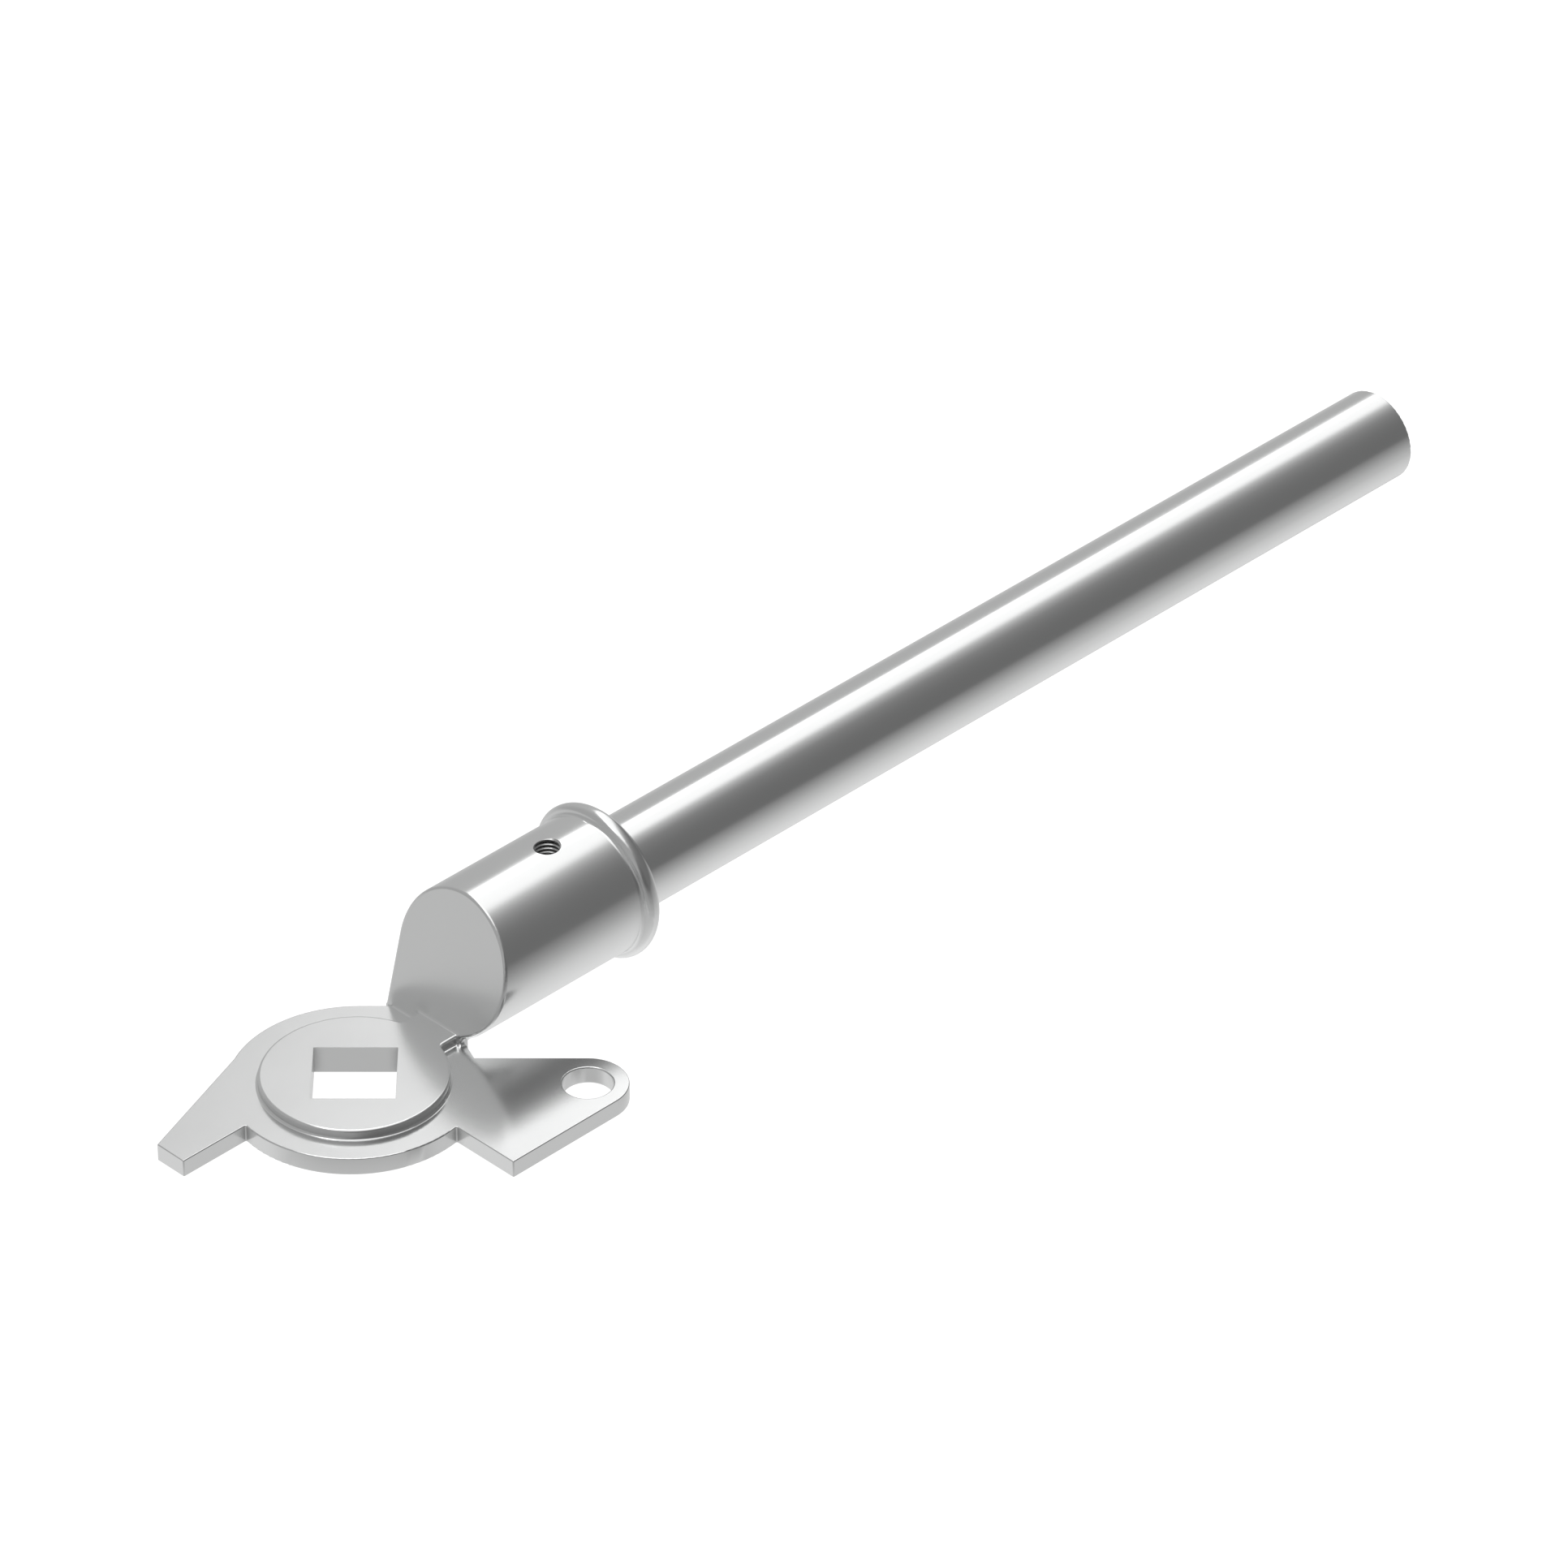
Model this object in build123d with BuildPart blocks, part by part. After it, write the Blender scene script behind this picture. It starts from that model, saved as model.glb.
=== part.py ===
from build123d import *
import os
from math import radians, tan, sin, cos, sqrt, atan2, acos, asin, degrees

# Lever handle for a quarter-turn valve: cast head, tube handle, set screw.
# Frame: origin at the centre of the square drive hole on the underside of the
# hub, +Z up along the valve stem, +Y along the handle. Left is -X, right is +X.

os.makedirs("parts", exist_ok=True)

# ---- driving dimensions, mm and degrees ----
square_af = 22.2            # across flats of the drive hole, 22 mm stem square
hub_h = 8.0                 # underside to top of the drive disc
plate_t = 5.2               # stop plate thickness
disc_r = 25.2               # raised drive disc
ring_r = 33.4               # round part of the stop plate
ring_flat = 32.5            # distance of the chord that trims the ring beside the ear
ring_flat_angle = 67.0      # direction of the chord's normal from +X
flat_cut_w, flat_cut_len, flat_cut_shift = 5, 24, 2     # block that cuts the chord

lug_inner_x = -6.03         # stop edge of the tapered lug
lug_tip_x, lug_tip_y = -16.2, -54.6
lug_back_angle = 71.07      # slope of the lug's long edge

ear_front_y = 5.44          # stop edge of the padlock ear
ear_right_x = 54.3
ear_root_y = 24             # depth to which the ear outline runs into the ring
padlock_x, padlock_y = 43.4, 42.7
padlock_r = 6.75
padlock_round = 0.4

shoulder_y = 32.4           # end of the left shoulder, under the socket
notch_r = 0.4               # inner corners in the plate outline
corner_r = 0.4              # outer corners of the lug and the ear

neck_x0, neck_x1 = -7.7, 7.0
neck_end_y = 34
neck_r = 1.5                # corner between the disc and the neck

axis_z = 25.1               # handle axis above the underside
socket_r = 20.03
raw_y0 = 24                 # start of the raw socket shapes, which the wall planes trim
raw_len = 40
wall_y = 30.55              # front of the end wall at the height of the disc top
wall_lean = radians(15.0)   # top of the wall leans towards the handle
wall_t = 6.5
mouth_y = 91.0
crown_y, crown_r = 88.0, 22.4   # top of the bead round the mouth
bead_root_r = 1.2
bead_in_r = 1.9
bead_out_r = 3.7
bore_r = 13.53
bore_end_y = 45.0
bore_chamfer = 0.8

tube_r = 13.45              # 26.9 mm tube
tube_wall = 4.0
tube_len = 350.0
tube_y0 = 45.2
tube_chamfer = 0.5
tube_round = 0.4            # outer edge of the free end
flat_depth = 2.6            # flat on the inner end of the tube, under the screw
flat_end_y = 77.0

tap_y = 70.4
tap_depth_z = 9             # bottom of the tapped hole above the handle axis
tap_minor_r = 3.40
tap_major_r = 4.15
pitch = 1.25
crest_half = 0.08           # half the width of a thread's flat crest
screw_r = 3.35
screw_root_r = 2.75
screw_len = 5.0
screw_gap = 0.02            # between the screw point and the flat on the tube
hex_af = 4.0
hex_depth = 2.6

cast_fillet = 0.7
cast_round = 0.7
rim_round = 1.0             # round between the end wall and the socket
plate_round = 0.3
crevice_r = 1.0             # fill between the round socket and the plate top
crevice_web_t = 1.4
web_r = 1.0                 # web beside the left foot of the end wall
overcut = 1                 # how far a cutter runs past the faces it opens

# ---- shared places ----
flat_z = axis_z + tube_r - flat_depth
shoulder_offset = ring_r * sqrt(2)      # left shoulder is the line y = x + shoulder_offset


def wall_front(z):
    return wall_y + tan(wall_lean) * (z - hub_h)


def on_circle(centre, radius, angle):
    return (centre[0] + radius * cos(radians(angle)), centre[1] + radius * sin(radians(angle)))


# planes of the end wall: the normal points to the handle side
front_plane = Plane(origin=(0, wall_front(0), 0), x_dir=(1, 0, 0),
                    z_dir=(0, cos(wall_lean), -sin(wall_lean)))
back_plane = front_plane.offset(wall_t)
# sketch x runs along +Y, sketch y runs up from the handle axis
axial = Plane(origin=(0, 0, axis_z), x_dir=(0, 1, 0), z_dir=(1, 0, 0))
handle_axis = Axis((0, 0, axis_z), (0, 1, 0))
# seen along the handle: sketch x is -X of the part, sketch y is Z
outline_plane = Plane(origin=(0, raw_y0, 0), x_dir=(-1, 0, 0), z_dir=(0, 1, 0))
# upright plane through the set screw: sketch x is X, sketch y is Z
screw_plane = Plane(origin=(0, tap_y, 0), x_dir=(1, 0, 0), z_dir=(0, -1, 0))
screw_axis = Axis((0, tap_y, 0), (0, 0, 1))

# ---- crevice between the socket and the plate top, on the right ----
crevice_x = sqrt((socket_r + crevice_r) ** 2 - (axis_z - plate_t - crevice_r) ** 2)
crevice_z = plate_t + crevice_r
crevice_centre = (crevice_x, crevice_z)
touch_share = socket_r / (socket_r + crevice_r)
touch_x = crevice_x * touch_share       # where the crevice arc meets the socket
touch_z = axis_z - (axis_z - crevice_z) * touch_share
touch_angle = degrees(atan2(touch_z - crevice_z, touch_x - crevice_x))


# ---- socket: bar of revolution with a beaded mouth, cut by the wall ----
def make_socket_bar():
    # bead: concave root arc, inner convex arc up to the crown, outer convex arc to the mouth
    turn = acos(1 - (crown_r - socket_r) / (bead_root_r + bead_in_r))
    turn_out = asin((mouth_y - crown_y) / bead_out_r)
    root_y = crown_y - (bead_root_r + bead_in_r) * sin(turn)

    def root_point(t):
        return (root_y + bead_root_r * sin(t), socket_r + bead_root_r * (1 - cos(t)))

    def bead_point(t, r):
        return (crown_y + r * sin(t), crown_r - r * (1 - cos(t)))

    with BuildPart() as bar:
        with BuildSketch(axial):
            with BuildLine():
                Polyline((raw_y0, 0), (raw_y0, socket_r), (root_y, socket_r))
                ThreePointArc((root_y, socket_r), root_point(turn / 2), root_point(turn))
                ThreePointArc(root_point(turn), bead_point(-turn / 2, bead_in_r),
                              bead_point(0, bead_in_r))
                ThreePointArc(bead_point(0, bead_out_r), bead_point(turn_out / 2, bead_out_r),
                              bead_point(turn_out, bead_out_r))
                Polyline(bead_point(turn_out, bead_out_r), (mouth_y, 0), (raw_y0, 0))
            make_face()
        revolve(axis=handle_axis)
        split(bisect_by=front_plane, keep=Keep.TOP)
    return bar.part


# ---- end wall: the lower right corner is cut back under the socket ----
def make_end_wall():
    arc_mid = on_circle(crevice_centre, crevice_r, (touch_angle + 180) / 2)
    foot_x = -3             # right end of the wall's foot, as sketch x
    with BuildPart() as wall:
        with BuildSketch(outline_plane):
            with BuildLine():
                Polyline((socket_r, axis_z), (socket_r, 0), (foot_x, 0),
                         (-crevice_x + crevice_r, crevice_z))
                ThreePointArc((-crevice_x + crevice_r, crevice_z), (-arc_mid[0], arc_mid[1]),
                              (-touch_x, touch_z))
                Polyline((-touch_x, touch_z), (0, axis_z), (socket_r, axis_z))
            make_face()
        extrude(amount=raw_len)
        split(bisect_by=front_plane, keep=Keep.TOP)
        split(bisect_by=back_plane, keep=Keep.BOTTOM)
    return wall.part


# ---- thin web that fills the crevice ----
def make_crevice_web():
    arc_mid = on_circle(crevice_centre, crevice_r, (touch_angle + 270) / 2)
    top_z = axis_z - socket_r + 2       # inside the socket
    foot_z = 3                          # inside the plate
    with BuildPart() as web:
        with BuildSketch(outline_plane):
            with BuildLine():
                Polyline((0, top_z), (0, foot_z), (-crevice_x, foot_z), (-crevice_x, plate_t))
                ThreePointArc((-crevice_x, plate_t), (-arc_mid[0], arc_mid[1]),
                              (-touch_x, touch_z))
                Line((-touch_x, touch_z), (0, top_z))
            make_face()
        extrude(amount=raw_len)
        split(bisect_by=front_plane, keep=Keep.TOP)
        split(bisect_by=front_plane.offset(crevice_web_t), keep=Keep.BOTTOM)
    return web.part


# ---- edge and vertex selectors ----
hub_limit_r = 32.9      # edges on the plate top belong to the hub inside, to the rim outside


def mid(e):
    return e.position_at(0.5)


def from_centre(e):
    return sqrt(mid(e).X ** 2 + mid(e).Y ** 2)


def near(x, y, tol=0.6):
    return lambda s: abs(s.center().X - x) < tol and abs(s.center().Y - y) < tol


def under_socket(e):
    return mid(e).Y > 31 and -19 < mid(e).X < 14


def level(e, z):
    return all(abs(e.position_at(k).Z - z) < 0.03 for k in (0, 0.5, 1))


def on_wall(e):
    points = [e.position_at(k) for k in (0, 0.3, 0.5, 0.8, 1)]
    return all(abs(p.Y - wall_front(p.Z)) < 0.03 for p in points)


def on_chord(e):
    angle = radians(ring_flat_angle)
    points = [e.position_at(k) for k in (0, 0.5, 1)]
    return all(abs(p.X * cos(angle) + p.Y * sin(angle) - ring_flat) < 0.02 for p in points)


def hub_foot(e):
    return (level(e, plate_t) and mid(e).Y < wall_y + 0.1 and from_centre(e) < hub_limit_r
            and not on_chord(e) and abs(mid(e).X + socket_r) > 0.1
            and not (mid(e).X < -8.5 and on_wall(e)))


def neck_corner(e):     # short upright edge between the neck and the wall
    return (abs(mid(e).Z - (plate_t + hub_h) / 2) < 0.2 and mid(e).Y > wall_y - 0.6
            and e.length < 3.2 and abs(mid(e).X) < 8)


def neck_crease(e):
    return level(e, hub_h) and abs(mid(e).Y - wall_y) < 0.05 and e.length > 4


def inner_corner(e):
    return hub_foot(e) or neck_corner(e) or neck_crease(e)


def left_crease(e):
    return level(e, plate_t) and on_wall(e) and mid(e).X < -8.2 and e.length > 4


def wall_rim(e):
    round_rim = abs(sqrt(mid(e).X ** 2 + (mid(e).Z - axis_z) ** 2) - socket_r) < 0.05
    return on_wall(e) and mid(e).Z > 1 and (round_rim or abs(mid(e).X + socket_r) < 0.02)


def disc_rim(e):
    level_y = abs(e.position_at(0).Y - e.position_at(1).Y) < 0.01
    along_wall = abs(mid(e).Y - wall_y) < 1.7 and level_y
    return level(e, hub_h) and not along_wall


def plate_rim(e):
    return (level(e, plate_t) and from_centre(e) > hub_limit_r
            and not on_wall(e) and not under_socket(e))


# ---- stop plate: ring with the lug, the padlock ear and the left shoulder ----
def make_plate():
    # the lug's long edge ends at the foot of its normal from the origin
    slope = radians(lug_back_angle)
    normal_x, normal_y = -sin(slope), -cos(slope)
    lug_offset = lug_tip_x * normal_x + lug_tip_y * normal_y
    lug_root = (normal_x * lug_offset, normal_y * lug_offset)

    # the ear's back edge is the line y = x + ear_offset
    padlock = (padlock_x, padlock_y)
    ear_r = ear_right_x - padlock_x
    ear_back = on_circle(padlock, ear_r, 135)
    ear_offset = ear_back[1] - ear_back[0]

    shoulder_root = (-ring_r / sqrt(2), ring_r / sqrt(2))
    corners = (
        (lug_inner_x, -sqrt(ring_r ** 2 - lug_inner_x ** 2), notch_r),
        (sqrt(ring_r ** 2 - ear_front_y ** 2), ear_front_y, notch_r),
        (lug_inner_x, lug_tip_y, corner_r),
        (lug_tip_x, lug_tip_y, corner_r),
        (ear_right_x, ear_front_y, corner_r),
    )
    with BuildPart() as plate:
        with BuildSketch() as outline:
            Circle(ring_r)
            with Locations(Rot(0, 0, ring_flat_angle)
                           * Pos(ring_flat + flat_cut_w / 2, flat_cut_shift, 0)):
                Rectangle(flat_cut_w, flat_cut_len, mode=Mode.SUBTRACT)
            with BuildLine():
                Polyline((0, 0), (lug_inner_x, -20), (lug_inner_x, lug_tip_y),
                         (lug_tip_x, lug_tip_y), lug_root, (0, 0))
            make_face()
            with BuildLine():
                Line((0, ear_front_y), (ear_right_x, ear_front_y))
                Line((ear_right_x, ear_front_y), (ear_right_x, padlock_y))
                ThreePointArc((ear_right_x, padlock_y), on_circle(padlock, ear_r, 67.5), ear_back)
                Polyline(ear_back, (ear_root_y - ear_offset, ear_root_y), (0, ear_root_y),
                         (0, ear_front_y))
            make_face()
            with BuildLine():
                Polyline(shoulder_root, (shoulder_y - shoulder_offset, shoulder_y),
                         (0, shoulder_y), (0, 0), shoulder_root)
            make_face()
            for x, y, radius in corners:
                fillet(outline.vertices().filter_by(near(x, y)), radius=radius)
        extrude(amount=plate_t)
        bottom_edges = plate.edges().group_by(Axis.Z)[0]
        fillet(bottom_edges.filter_by(lambda e: not under_socket(e)), radius=plate_round)
    return plate.part


# ---- thread profiles, drawn as grooves at the thread's pitch ----
def turn_starts(z, z_limit):
    starts = []
    while z + pitch < z_limit:
        starts.append(z)
        z += pitch
    return starts


def crest(z, radius):
    return [(radius, z + 0.5 * pitch - crest_half), (radius, z + 0.5 * pitch + crest_half)]


def tap_profile():
    top = axis_z + socket_r
    bottom = axis_z + tap_depth_z
    mouth_r = tap_major_r + 0.1
    points = [(0, bottom), (tap_minor_r, bottom)]
    for z in turn_starts(bottom + 0.3, top - 0.25):
        points += [(tap_minor_r, z), *crest(z, tap_major_r), (tap_minor_r, z + pitch - 0.14)]
    return points + [(tap_minor_r, top - 0.35), (mouth_r, top + 0.2), (mouth_r, top + 3),
                     (0, top + 3), (0, bottom)]


def screw_profile(z0, z1):
    cup = (0, z0 + 0.7)
    points = [cup, (1.4, z0), (1.9, z0), (screw_root_r, z0 + 0.9)]
    for z in turn_starts(z0 + 0.95, z1 - 0.2):
        points += [*crest(z, screw_r), (screw_root_r, z + pitch)]
    return points + [(screw_r - 0.25, z1 - 0.05), (screw_r - 0.3, z1), (0, z1), cup]


# ---- lever head ----
def make_lever_head():
    plate = make_plate()
    socket_parts = (make_end_wall(), make_crevice_web(), make_socket_bar())

    # web in the sharp corner between the shoulder and the end wall
    web_y = wall_front(plate_t)
    web_x = web_y - shoulder_offset
    reach = web_r / tan(radians(22.5))
    web_start = (web_x - reach, web_y)
    web_mid = on_circle((web_x - reach, web_y - web_r), web_r, 67.5)
    web_end = (web_x - reach / sqrt(2), web_y - reach / sqrt(2))

    with BuildPart() as head:
        add(plate)
        # raised drive disc and neck
        with BuildSketch() as hub_outline:
            Circle(disc_r)
            with Locations(((neck_x0 + neck_x1) / 2, neck_end_y / 2)):
                Rectangle(neck_x1 - neck_x0, neck_end_y)
            for x in (neck_x0, neck_x1):
                corner = near(x, sqrt(disc_r ** 2 - x ** 2))
                fillet(hub_outline.vertices().filter_by(corner), radius=neck_r)
        extrude(amount=hub_h)
        for socket_part in socket_parts:
            add(socket_part)

        # each fillet selects from the edges the one before it leaves
        for chosen, radius in ((inner_corner, cast_fillet), (left_crease, cast_fillet),
                               (wall_rim, rim_round), (disc_rim, cast_round),
                               (plate_rim, plate_round)):
            fillet(head.edges().filter_by(chosen), radius=radius)

        with BuildSketch():
            with BuildLine():
                ThreePointArc(web_start, web_mid, web_end)
                Polyline(web_end, (web_x + 2, web_y), (web_x + 2, web_y + 3),
                         (web_x - reach, web_y + 3), web_start)
            make_face()
        extrude(amount=plate_t - plate_round - 0.1)

        # square drive hole, corners on the X and Y axes
        with BuildSketch(Plane.XY.offset(-overcut)):
            Rectangle(square_af, square_af, rotation=45)
        extrude(amount=hub_h + 2 * overcut, mode=Mode.SUBTRACT)

        # padlock hole
        with Locations((padlock_x, padlock_y, plate_t)):
            Hole(padlock_r)
        fillet(head.edges().filter_by(GeomType.CIRCLE).filter_by(
            lambda e: abs(e.radius - padlock_r) < 0.01), radius=padlock_round)

        # blind bore for the tube; its lead-in chamfer runs on past the mouth
        with BuildSketch(axial):
            with BuildLine():
                past = 0.4
                Polyline((bore_end_y, 0), (bore_end_y, bore_r), (mouth_y - bore_chamfer, bore_r),
                         (mouth_y + past, bore_r + bore_chamfer + past), (mouth_y + past, 0),
                         (bore_end_y, 0))
            make_face()
        revolve(axis=handle_axis, mode=Mode.SUBTRACT)

        # tapped hole for the set screw
        with BuildSketch(screw_plane):
            with BuildLine():
                Polyline(*tap_profile())
            make_face()
        revolve(axis=screw_axis, mode=Mode.SUBTRACT)
    return head.part


# ---- handle tube ----
def make_handle_tube():
    inner_r = tube_r - tube_wall
    end_y = tube_y0 + tube_len
    round_centre = (end_y - tube_round, tube_r - tube_round)
    with BuildPart() as tube:
        with BuildSketch(axial):
            with BuildLine():
                Polyline((tube_y0, inner_r), (tube_y0, tube_r - tube_chamfer),
                         (tube_y0 + tube_chamfer, tube_r), (end_y - tube_round, tube_r))
                ThreePointArc((end_y - tube_round, tube_r),
                              on_circle(round_centre, tube_round, 45),
                              (end_y, tube_r - tube_round))
                Polyline((end_y, tube_r - tube_round), (end_y, inner_r + tube_chamfer),
                         (end_y - tube_chamfer, inner_r), (tube_y0, inner_r))
            make_face()
        revolve(axis=handle_axis)
        # flat for the set screw, open at the inner end
        cut_w, cut_h = 30, 10
        with Locations((0, (tube_y0 - overcut + flat_end_y) / 2, flat_z + cut_h / 2)):
            Box(cut_w, flat_end_y - tube_y0 + overcut, cut_h, mode=Mode.SUBTRACT)
    return tube.part


# ---- set screw, hexagon socket, cup point ----
def make_set_screw():
    point_z = flat_z + screw_gap
    top_z = point_z + screw_len
    with BuildPart() as screw:
        with BuildSketch(screw_plane):
            with BuildLine():
                Polyline(*screw_profile(point_z, top_z))
            make_face()
        revolve(axis=screw_axis)
        with BuildSketch(Plane(origin=(0, tap_y, top_z), z_dir=(0, 0, 1))):
            RegularPolygon(radius=hex_af / 2, side_count=6, major_radius=False)
        extrude(amount=-hex_depth, mode=Mode.SUBTRACT)
    return screw.part


for name, make in (("lever_head", make_lever_head), ("handle_tube", make_handle_tube),
                   ("set_screw", make_set_screw)):
    piece = make()
    piece.label = name
    export_step(piece, f"parts/{name}.step")
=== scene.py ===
"""A satin stainless steel lever handle: lever head, handle tube and set screw.

Metres, +Z up. It stands at the origin on a pale floor just below z = 0, seen from +X, -Y.
The head's tapped hole runs along Z and lies off the origin in +Y.
"""
import bpy, math
import numpy as np
from mathutils import Matrix, Vector
from mathutils.kdtree import KDTree

# tapped hole: its axis crosses x = 0; faces within this radius and height get the thread finish
HOLE_Y = 0.0704
HOLE_RADIUS = 0.00422
HOLE_BOTTOM, HOLE_TOP = 0.034, 0.0452

# camera: it looks along a fixed direction and is moved from the aim point along its own axes
CAMERA_AZIMUTH = math.radians(45.056)     # from -Y towards +X
CAMERA_ELEVATION = math.radians(35.051)
AIM_POINT = Vector((0, 0, 0.008))
CAMERA_RIGHT, CAMERA_UP, CAMERA_BACK = 0.112039005, 0.075294555, 2.535004
SENSOR_WIDTH, FOCAL_LENGTH = 36.0, 223.2503106     # mm

FLOOR_HALF = 6.0
FLOOR_Z = -0.0006

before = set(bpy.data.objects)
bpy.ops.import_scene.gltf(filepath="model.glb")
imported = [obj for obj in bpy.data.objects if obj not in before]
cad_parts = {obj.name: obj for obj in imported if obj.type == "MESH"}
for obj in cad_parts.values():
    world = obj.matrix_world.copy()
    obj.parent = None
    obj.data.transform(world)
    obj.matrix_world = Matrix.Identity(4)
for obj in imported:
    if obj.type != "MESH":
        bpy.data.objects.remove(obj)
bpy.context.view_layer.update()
scene = bpy.context.scene


# ---------------------------------------------------------------- node helpers
class Graph:
    """Builds the node tree of a material or world, starting from an empty one."""
    def __init__(self, owner):
        owner.use_nodes = True
        self.tree = owner.node_tree
        self.tree.nodes.clear()

    def put(self, socket, value):
        """Link a socket, or set a plain value."""
        if isinstance(value, bpy.types.NodeSocket):
            self.tree.links.new(value, socket)
        else:
            socket.default_value = value

    def add(self, kind, inputs=None, **props):
        node = self.tree.nodes.new(kind)
        for name, value in props.items():
            setattr(node, name, value)
        for name, value in (inputs or {}).items():
            self.put(node.inputs[name], value)
        return node

    def math(self, operation, a, b=0.0, clamp=False):
        node = self.add("ShaderNodeMath", operation=operation, use_clamp=clamp)
        for socket, value in zip(node.inputs, (a, b, 0.0)):
            self.put(socket, value)
        return node.outputs[0]

    def plus(self, a, b, clamp=False):
        return self.math("ADD", a, b, clamp)

    def times(self, a, b):
        return self.math("MULTIPLY", a, b)

    def vary(self, base, texture, amount):
        """Add a 0..1 texture, centred on zero, to a base value."""
        return self.plus(base, self.times(self.math("SUBTRACT", texture, 0.5), amount))

    def ramp(self, value, start, end, low=0.0, high=1.0):
        """Smooth step from low (at start) to high (at end); start may exceed end."""
        return self.add("ShaderNodeMapRange", {
            "Value": value, "From Min": start, "From Max": end, "To Min": low, "To Max": high,
        }, interpolation_type="SMOOTHSTEP", clamp=True).outputs[0]

    def mix(self, factor, a, b):
        return self.add("ShaderNodeMix", {0: factor, 2: a, 3: b}, data_type="FLOAT").outputs[0]

    def vector_math(self, operation, a, b):
        return self.add("ShaderNodeVectorMath", {0: a, 1: b}, operation=operation).outputs

    def noise(self, vector, scale, detail, rough):
        return self.add("ShaderNodeTexNoise", {
            "Vector": vector, "Scale": scale, "Detail": detail, "Roughness": rough}).outputs[0]

    def colour(self, red, green, blue):
        return self.add("ShaderNodeCombineColor", {0: red, 1: green, 2: blue}).outputs[0]


# ---------------------------------------------------------------- steel finishes, with painted edge highlights and painted crevice shade
def edge_wear_and_highlight(g, normal):
    """1 where a bevelled normal leaves the true one, at edges."""
    bevel = g.add("ShaderNodeBevel", {"Radius": 0.0006}, samples=4)
    agreement = g.vector_math("DOT_PRODUCT", bevel.outputs[0], normal)["Value"]
    return g.ramp(agreement, start=0.995, end=0.90)


def painted_crevice_shade(g, normal, crevice_shade):
    """Brightness factor of painted shade: tight inner corners are darkened, faces that look up
    are left unshaded.
    """
    occlusion = g.add("ShaderNodeAmbientOcclusion", {"Distance": 0.0035},
                      samples=6, only_local=True)
    openness = g.ramp(occlusion.outputs["AO"], start=0.40, end=0.95, low=1.0 - crevice_shade)
    facing = g.add("ShaderNodeSeparateXYZ", {0: normal})
    faces_up_unshaded = g.ramp(facing.outputs["Z"], start=0.06, end=0.20)
    return g.math("MAXIMUM", openness, faces_up_unshaded)


def stainless(name, tint, rough, grain_scale, stretch=(1, 1, 1), grain_depth=0.00002,
              blotch=0.03, crevice_shade=0.40):
    """Satin steel: fine grain, slow changes of roughness, smoother edges with a painted
    highlight, painted shade in crevices.

    blotch is the swing in roughness, crevice_shade the share of brightness lost to painted shade
    in corners.
    """
    mat = bpy.data.materials.new(name)
    g = Graph(mat)
    place = g.add("ShaderNodeTexCoord").outputs["Object"]

    def texture(stretch, **noise):
        return g.noise(g.vector_math("MULTIPLY", place, stretch)[0], **noise)

    fine = texture(stretch, scale=grain_scale, detail=4.0, rough=0.6)
    mid = texture(stretch, scale=grain_scale * 0.18, detail=3.0, rough=0.55)
    slow = g.noise(place, scale=38.0, detail=3.0, rough=0.5)
    smear = texture((1.0, 0.35, 1.0), scale=140.0, detail=5.0, rough=0.6)
    normal = g.add("ShaderNodeNewGeometry").outputs["Normal"]
    # edge mask: lowers the roughness and paints a highlight into the colour along edges
    edge = edge_wear_and_highlight(g, normal)

    roughness = g.vary(rough, slow, amount=blotch)
    roughness = g.vary(roughness, smear, amount=blotch * 0.8)
    roughness = g.vary(roughness, fine, amount=0.05)
    edge_polish = 0.05
    roughness = g.math("SUBTRACT", roughness, g.times(edge, edge_polish))

    grey = g.vary(tint, slow, amount=0.02)
    grey = g.vary(grey, mid, amount=0.016)
    # painted highlight: the colour is made lighter along edges
    edge_painted_highlight = 0.02
    grey = g.plus(grey, g.times(edge, edge_painted_highlight), clamp=True)
    # painted shade: the colour is darker in tight inner corners, except on faces that look up
    grey = g.times(grey, painted_crevice_shade(g, normal, crevice_shade))
    # red, green, blue: neutral with a trace of green
    cast_of_colour = (0.994, 1.0, 0.998)
    colour = g.colour(*(g.times(grey, share) for share in cast_of_colour))

    # shares of the two grain sizes in the relief
    fine_share, mid_share = 0.7, 0.5
    height = g.plus(g.times(fine, fine_share), g.times(mid, mid_share))
    bump = g.add("ShaderNodeBump", {
        "Strength": 0.35, "Distance": grain_depth, "Height": height})
    bsdf = g.add("ShaderNodeBsdfPrincipled", {
        "Base Color": colour, "Metallic": 1.0, "Roughness": roughness,
        "Normal": bump.outputs[0]})
    g.add("ShaderNodeOutputMaterial", {"Surface": bsdf.outputs[0]})
    return mat


cast = stainless("cast_satin_steel", tint=0.90, rough=0.19, grain_scale=2600.0,
                 grain_depth=0.000006)
tube = stainless("tube_satin_steel", tint=0.90, rough=0.19, grain_scale=3200.0,
                 stretch=(1.0, 0.12, 1.0), grain_depth=0.000005, blotch=0.02)
screw = stainless("screw_steel", tint=0.72, rough=0.32, grain_scale=3000.0)
# the thread's grooves get more painted shade than the other steels
thread = stainless("cut_thread_steel", tint=0.62, rough=0.24, grain_scale=3000.0,
                   stretch=(1, 1, 0.1), crevice_shade=0.55)


# ---------------------------------------------------------------- corner normals
TINY = 1e-20               # keeps divisions by a length safe
FLAT_TOLERANCE = 2e-5      # 1 - cosine allowed between a flat patch's faces and its mean
SLIVER = 2e-10             # doubled face area at or below which a face is not judged
SAME_PLACE = 3e-6          # vertices this close meet at a border
JOIN_COS = math.cos(math.radians(18.0))          # borders smoother than this share normals
FLAT_JOIN_COS = math.cos(math.radians(11.0))     # smoother than this take a flat's normal


def lengths(vectors):
    return np.linalg.norm(vectors, axis=1)


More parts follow.
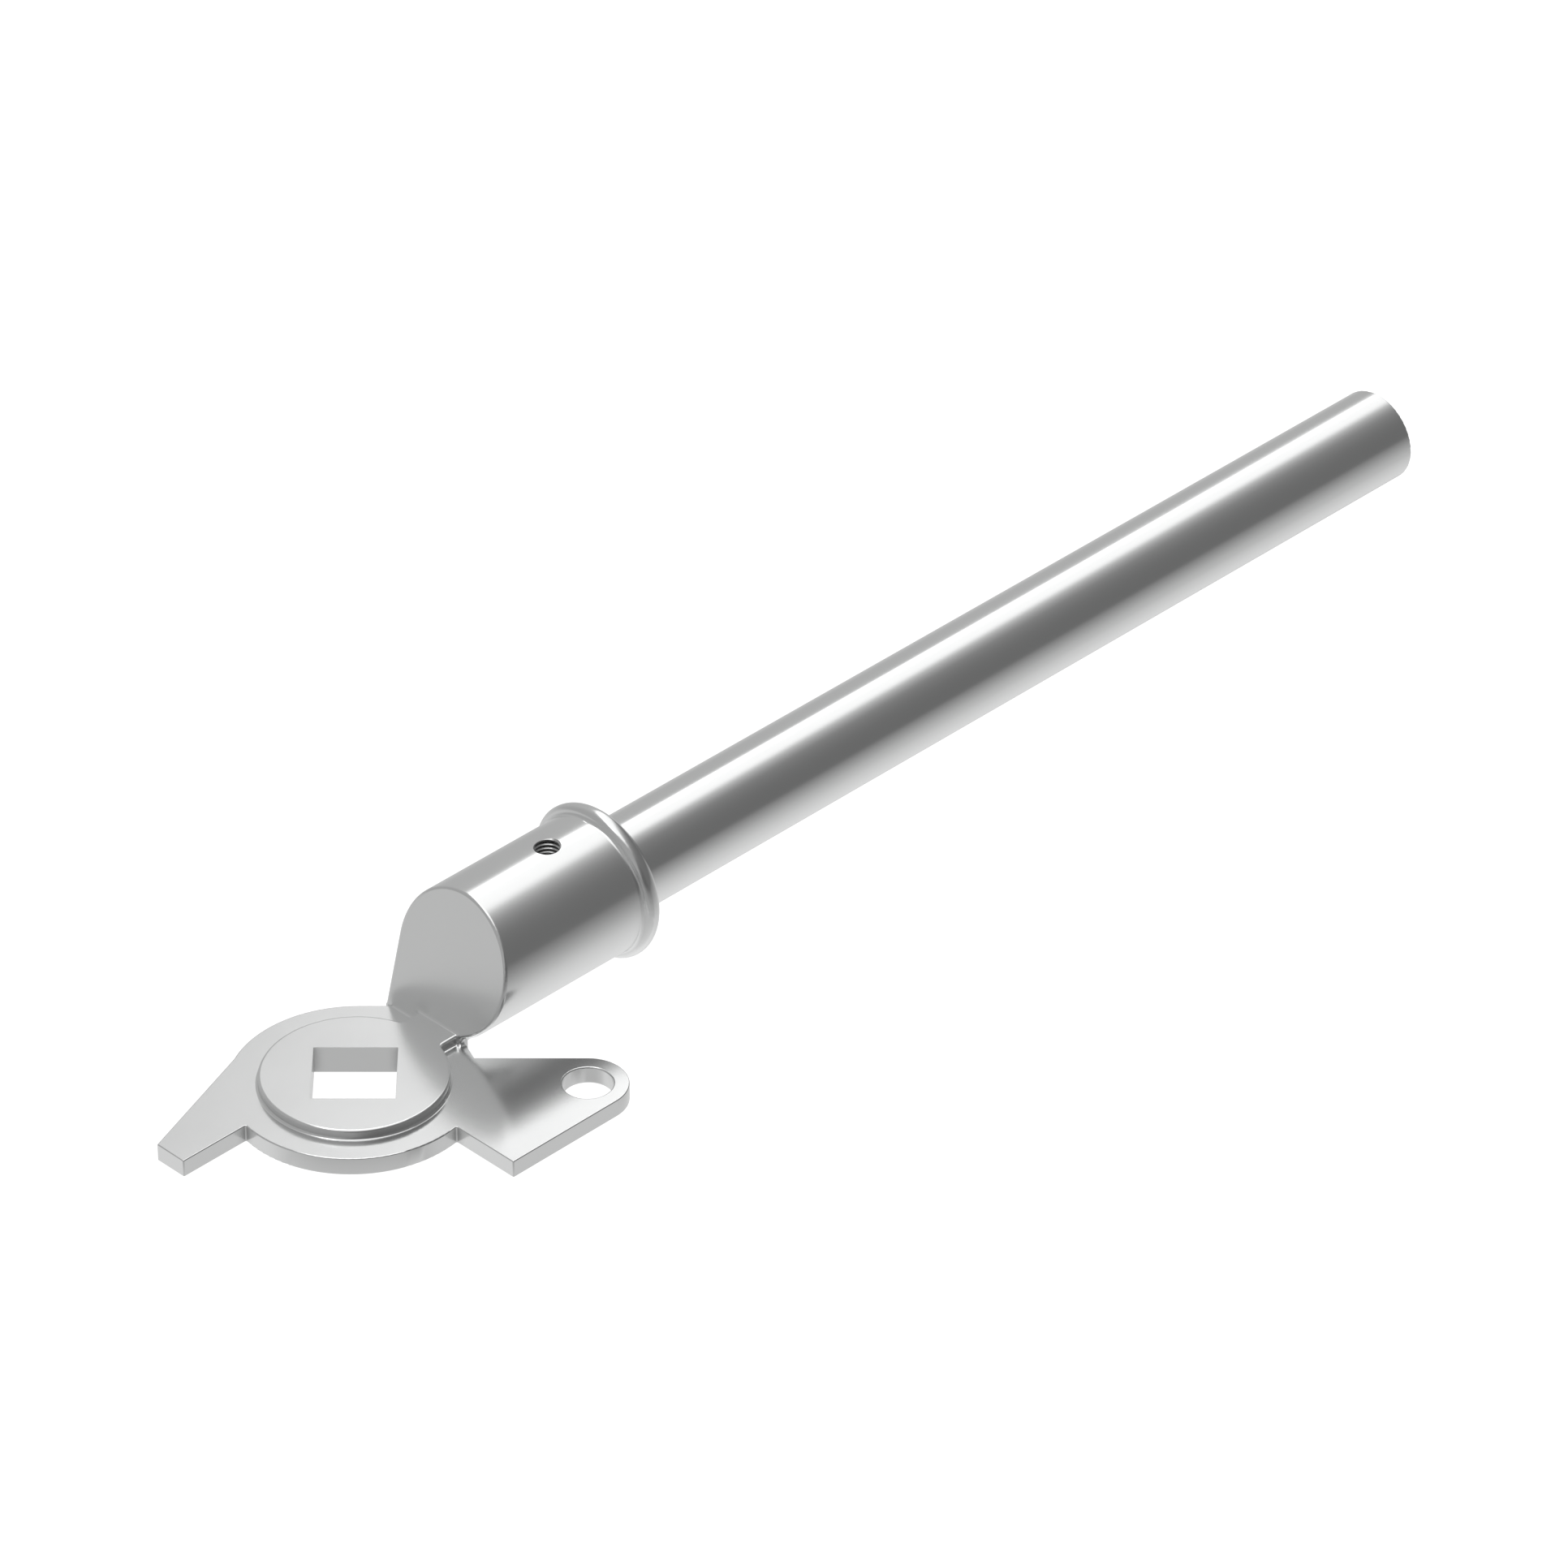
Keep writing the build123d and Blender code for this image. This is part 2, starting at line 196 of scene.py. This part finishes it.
def unit(vectors):
    return vectors / np.maximum(lengths(vectors), TINY)[:, None]


def patch_labels(count, tri):
    """Label each vertex by the connected part of the mesh it belongs to."""
    labels = np.arange(count)
    while True:
        lowest = labels[tri].min(1)
        new = labels.copy()
        for corner in range(3):
            np.minimum.at(new, tri[:, corner], lowest)
        new = new[new]
        if (new == labels).all():
            return labels
        labels = new


def patch_normals(co, tri):
    """Vertex normals inside each patch, and which vertices lie on flat patches."""
    count = len(co)
    labels = patch_labels(count, tri)
    points = [co[tri[:, corner]] for corner in range(3)]
    face = np.cross(points[1] - points[0], points[2] - points[0])
    face_unit = unit(face)
    patch = labels[tri[:, 0]]
    total = np.zeros((count, 3))
    np.add.at(total, patch, face)
    mean = unit(total)
    deviation = (1.0 - (face_unit * mean[patch]).sum(1)) * (lengths(face) > SLIVER)
    worst = np.zeros(count)
    np.maximum.at(worst, patch, deviation)
    flat = worst[labels] < FLAT_TOLERANCE

    # faces weighted by their angle at the vertex
    normals = np.zeros((count, 3))
    for k in range(3):
        to_next = points[(k + 1) % 3] - points[k]
        to_last = points[(k + 2) % 3] - points[k]
        size = np.maximum(lengths(to_next) * lengths(to_last), TINY)
        cosine = (to_next * to_last).sum(1) / size
        angle = np.arccos(np.clip(cosine, -1, 1))
        np.add.at(normals, tri[:, k], face_unit * angle[:, None])
    normals = unit(normals)
    normals[flat] = mean[labels[flat]]
    return normals, flat


def shade_like_cad(obj):
    """A patch keeps its own normals at a sharp border and shares them across a smooth one;
    a flat patch passes its exact normal on."""
    mesh = obj.data
    count = len(mesh.vertices)
    co = np.zeros(count * 3)
    mesh.vertices.foreach_get("co", co)
    co = co.reshape(-1, 3)
    tri = np.zeros(len(mesh.polygons) * 3, np.int64)
    mesh.loops.foreach_get("vertex_index", tri)
    tri = tri.reshape(-1, 3)
    normals, flat = patch_normals(co, tri)

    finder = KDTree(count)
    for i in range(count):
        finder.insert(co[i], i)
    finder.balance()
    result = normals.copy()
    for i in np.flatnonzero(~flat):
        near = [j for _, j, _ in finder.find_range(co[i], SAME_PLACE)]
        if len(near) < 2:
            continue
        cosine = {j: float(normals[i] @ normals[j]) for j in near}
        near = [j for j in near if cosine[j] > JOIN_COS]
        flats = [j for j in near if flat[j] and cosine[j] > FLAT_JOIN_COS]
        if flats:
            result[i] = normals[max(flats, key=cosine.get)]
        else:
            shared = normals[[j for j in near if not flat[j]]].sum(0)
            result[i] = shared / max(np.linalg.norm(shared), TINY)
    for polygon in mesh.polygons:
        polygon.use_smooth = True
    mesh.normals_split_custom_set([tuple(n) for n in result[tri.reshape(-1)]])


for name, mat in (("lever_head", cast), ("handle_tube", tube), ("set_screw", screw)):
    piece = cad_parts[name]
    piece.data.materials.clear()
    piece.data.materials.append(mat)
    shade_like_cad(piece)

# the tapped hole keeps its cutting marks: its own, darker finish
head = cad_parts["lever_head"].data
head.materials.append(thread)
for polygon in head.polygons:
    x, y, z = polygon.center
    if math.hypot(x, y - HOLE_Y) < HOLE_RADIUS and HOLE_BOTTOM < z < HOLE_TOP:
        polygon.material_index = 1


# ---------------------------------------------------------------- camera
def add_camera():
    sin_a, cos_a = math.sin(CAMERA_AZIMUTH), math.cos(CAMERA_AZIMUTH)
    sin_e, cos_e = math.sin(CAMERA_ELEVATION), math.cos(CAMERA_ELEVATION)
    right = Vector((cos_a, sin_a, 0.0))
    up = Vector((-sin_a * sin_e, cos_a * sin_e, cos_e))
    back = Vector((sin_a * cos_e, -cos_a * cos_e, sin_e))
    place = AIM_POINT + CAMERA_RIGHT * right + CAMERA_UP * up + CAMERA_BACK * back
    data = bpy.data.cameras.new("cam")
    camera = bpy.data.objects.new("cam", data)
    scene.collection.objects.link(camera)
    turn = Matrix((right, up, back)).transposed().to_4x4()
    camera.matrix_world = Matrix.Translation(place) @ turn
    data.sensor_width = SENSOR_WIDTH
    data.lens = FOCAL_LENGTH
    data.clip_start = 0.05
    data.clip_end = 50.0
    scene.camera = camera


# ---------------------------------------------------------------- studio
# One broad overhead light panel, soft grey walls to the left, a dark room to the
# right and in front (-Y), and a pale ground that is brightest straight below.
# Left and right are the low and high ends of "across", which runs near the camera's right.
def upper_light(g, x, y, z, along_plane):
    def tilt(a, b):
        """Degrees from straight up towards the plan direction (a, b)."""
        return g.times(g.math("ARCTAN2", along_plane(a, b), z), math.degrees(1.0))

    across, along = tilt(0.865, 0.50), tilt(-0.50, 0.865)
    # the panel's four soft edges
    panel = g.times(g.ramp(across, start=24.0, end=12.0), g.ramp(across, start=-23.7, end=-15.8))
    panel = g.times(panel, g.ramp(along, start=-36.0, end=-18.0))
    panel = g.times(panel, g.ramp(along, start=88.0, end=70.0))
    # glow that dies away to the right of the panel
    glow_edge, glow_fall, glow_limit = 27.0, 11.0, 1.3     # degrees, degrees, cap
    glow = g.math("DIVIDE", g.math("SUBTRACT", glow_edge, across), glow_fall)
    glow = g.math("MINIMUM", g.math("EXPONENT", glow), glow_limit)
    front = g.ramp(y, start=0.30, end=-0.45)
    # each pair is the level at the back and in front
    room_level, glow_level, right_front, left_levels = 0.15, 0.24, (1.0, 0.78), (0.45, 0.375)
    right_side = g.times(g.plus(room_level, g.times(glow, glow_level)),
                         g.mix(front, *right_front))
    left_side = g.mix(front, *left_levels)
    walls = g.mix(g.ramp(across, start=-30.0, end=22.0), left_side, right_side)
    # the panel is brightest at its left edge
    panel_level, strip_gain = 1.09, 0.80
    strip = g.ramp(across, start=-7.0, end=-13.0)
    return g.mix(panel, walls, g.plus(panel_level, g.times(strip, strip_gain)))


def ground_light(g, x, z, along_plane):
    down = g.math("MAXIMUM", g.times(z, -1.0), 0.0)

    def ground_side(horizon, gain):
        return g.plus(horizon, g.times(down, gain))

    ground = g.mix(g.ramp(x, start=0.30, end=-0.50),
                   ground_side(horizon=0.215, gain=0.61),      # +X side
                   ground_side(horizon=0.44, gain=0.43))       # -X side
    # a little darker on the camera's side (+X, -Y)
    toward = along_plane(0.707, -0.707)
    return g.times(ground, g.ramp(toward, start=0.05, end=0.45, low=1.0, high=0.845))


def add_world():
    world = bpy.data.worlds.new("studio")
    scene.world = world
    g = Graph(world)
    direction = g.add("ShaderNodeTexCoord").outputs["Generated"]
    x, y, z = g.add("ShaderNodeSeparateXYZ", {0: direction}).outputs

    def along_plane(a, b):
        return g.plus(g.times(x, a), g.times(y, b))

    below = g.ramp(z, start=0.03, end=-0.03)
    light = g.mix(below, upper_light(g, x, y, z, along_plane),
                  ground_light(g, x, z, along_plane))
    # the camera itself sees plain white
    seen = g.add("ShaderNodeLightPath").outputs["Is Camera Ray"]
    light = g.mix(seen, light, 1.0)
    background = g.add("ShaderNodeBackground", {
        "Color": g.colour(light, light, light), "Strength": 1.0})
    g.add("ShaderNodeOutputWorld", {"Surface": background.outputs[0]})
    world.cycles.sampling_method = "MANUAL"
    world.cycles.sample_map_resolution = 512


def add_floor():
    """Pale floor, hidden from mirror reflections so the metal shows the studio's ground."""
    corners = ((-1, -1), (1, -1), (1, 1), (-1, 1))
    mesh = bpy.data.meshes.new("floor")
    mesh.from_pydata([(x * FLOOR_HALF, y * FLOOR_HALF, 0) for x, y in corners],
                     [], [(0, 1, 2, 3)])
    floor = bpy.data.objects.new("floor", mesh)
    floor.location = (0, 0, FLOOR_Z)
    scene.collection.objects.link(floor)
    floor.visible_glossy = False
    mat = bpy.data.materials.new("floor_white")
    g = Graph(mat)
    diffuse = g.add("ShaderNodeBsdfDiffuse", {"Color": (0.30, 0.30, 0.30, 1)})
    emission = g.add("ShaderNodeEmission", {"Strength": 0.97})
    both = g.add("ShaderNodeAddShader", {0: diffuse.outputs[0], 1: emission.outputs[0]})
    g.add("ShaderNodeOutputMaterial", {"Surface": both.outputs[0]})
    mesh.materials.append(mat)


add_camera()
add_world()
add_floor()

view = scene.view_settings
view.view_transform = "Standard"
view.look = "None"
view.exposure = 0.0
view.gamma = 1.0
